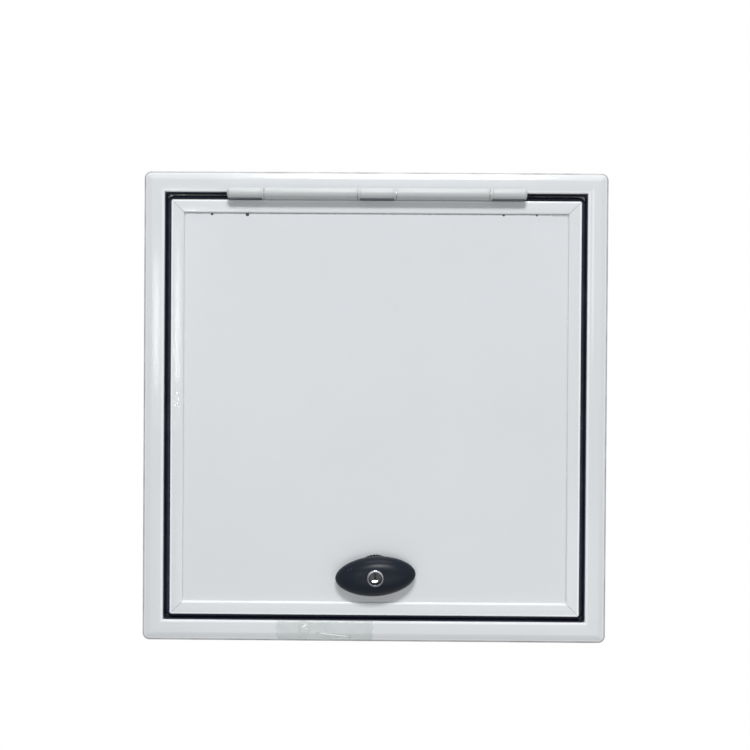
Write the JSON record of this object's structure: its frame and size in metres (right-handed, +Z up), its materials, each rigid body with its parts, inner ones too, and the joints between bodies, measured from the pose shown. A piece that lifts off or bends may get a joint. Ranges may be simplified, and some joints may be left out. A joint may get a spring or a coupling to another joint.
{
  "type": "camper hatch door",
  "caption": "Square white aluminium access hatch for a caravan wall: raised surround, rubber seal, top-hinged sandwich door and black oval turn handle with a key lock.",
  "frame": {"origin": "middle of the bottom member's back face, on the wall's outer surface", "axes": "+X to the right seen from outside, +Y into the wall, +Z up"},
  "size_m": [0.4, 0.0456, 0.405],
  "materials": {
    "surround": "glossy white powder coat on aluminium",
    "edge_trim": "glossy white powder coat on aluminium",
    "skin": "smooth white coated aluminium sheet",
    "hinge": "pale grey satin coat on aluminium",
    "white_nylon": "moulded white nylon",
    "seal": "satin black rubber",
    "foam": "cut rigid foam",
    "black_nylon": "satin black moulded nylon",
    "chrome": "polished chrome",
    "bare_steel": "bright zinc plate",
    "barrel_steel": "polished lock barrel"
  },
  "bodies": {
    "surround": {"frame_top": "surround", "frame_bottom": "surround", "frame_left": "surround", "frame_right": "surround", "weather_seal": "seal", "hinge_frame_leaf": "hinge", "hinge_pin": "bare_steel", "hinge_end_caps": "white_nylon", "hinge_washers": "white_nylon"},
    "door": {"hinge_door_leaf": "hinge", "trim_top": "edge_trim", "trim_bottom": "edge_trim", "trim_left": "edge_trim", "trim_right": "edge_trim", "outer_skin": "skin", "foam_core": "foam", "inner_skin": "skin", "lock_gasket": "seal", "lock_base": "black_nylon", "lock_washer": "bare_steel", "lock_nut": "bare_steel"},
    "handle": {"turn_handle": "black_nylon", "handle_stem": "black_nylon", "lock_ring": "chrome", "lock_cam": "bare_steel", "cam_screw": "bare_steel"},
    "key": {"key_barrel": "barrel_steel"}
  },
  "joints": [
    {"name": "door_swing", "type": "hinge", "parent": "surround", "child": "door", "pos_m": [0.0007, -0.01, 0.3773], "axis": [-1, 0, 0], "range_deg": [0, 160]},
    {"name": "handle_turn", "type": "hinge", "parent": "door", "child": "handle", "pos_m": [0.0015, -0.012, 0.0497], "axis": [0, 1, 0], "range_deg": [0, 94]},
    {"name": "key_turn", "type": "hinge", "parent": "handle", "child": "key", "pos_m": [0.0015, -0.014, 0.0497], "axis": [0, 1, 0], "range_deg": [0, 90]}
  ]
}
